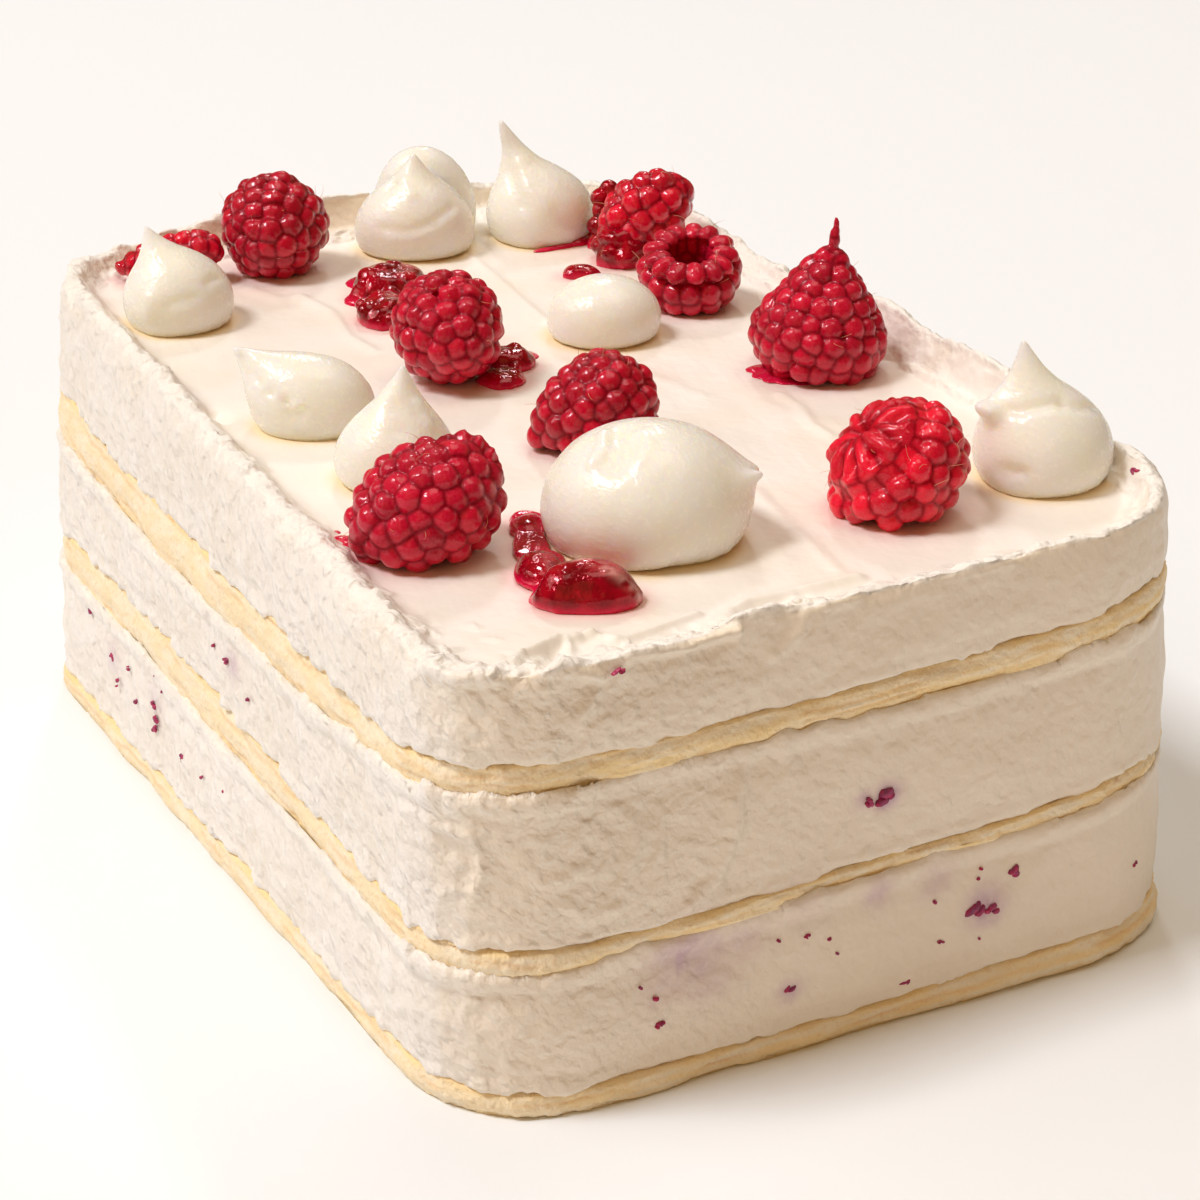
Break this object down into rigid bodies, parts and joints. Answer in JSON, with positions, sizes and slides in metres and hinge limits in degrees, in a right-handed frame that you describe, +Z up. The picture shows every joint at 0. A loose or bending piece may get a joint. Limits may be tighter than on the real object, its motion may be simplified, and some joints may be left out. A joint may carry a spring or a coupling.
{
  "type": "layered meringue cream cake",
  "caption": "Rounded rectangular block cake of thin sponge sheets and thick whipped cream, with a ragged cream rim and piped meringue kisses, fresh berries and spoonfuls of jam on top.",
  "frame": {"origin": "middle of the cake's box, on its flat base", "axes": "+Z up; +Y along the long side, towards the higher back end; +X to the right seen from the front end"},
  "size_m": [0.1258, 0.1858, 0.0925],
  "materials": {
    "sponge": "matte crumb",
    "cream": "soft satin",
    "kiss": "smooth, softly glossy",
    "berry": "moist, softly glossy",
    "jam": "wet gloss"
  },
  "bodies": {
    "root": {"sponge_bottom": "sponge", "cream_lower": "cream", "sponge_middle": "sponge", "cream_middle": "cream", "sponge_top": "sponge", "cream_top": "cream", "kiss_back_left": "kiss", "kiss_back": "kiss", "kiss_tall": "kiss", "kiss_left": "kiss", "kiss_front_left": "kiss", "kiss_round": "kiss", "kiss_front": "kiss", "kiss_right": "kiss", "kiss_behind": "kiss", "berry_back_left": "berry", "berry_centre": "berry", "berry_middle": "berry", "berry_front_left": "berry", "berry_right": "berry", "berry_front_right": "berry", "berry_hollow": "berry", "berry_crushed": "berry", "berry_split": "berry", "jam_left": "jam", "jam_centre": "jam", "jam_behind": "jam", "jam_front": "jam", "jam_back": "jam"}
  },
  "joints": []
}
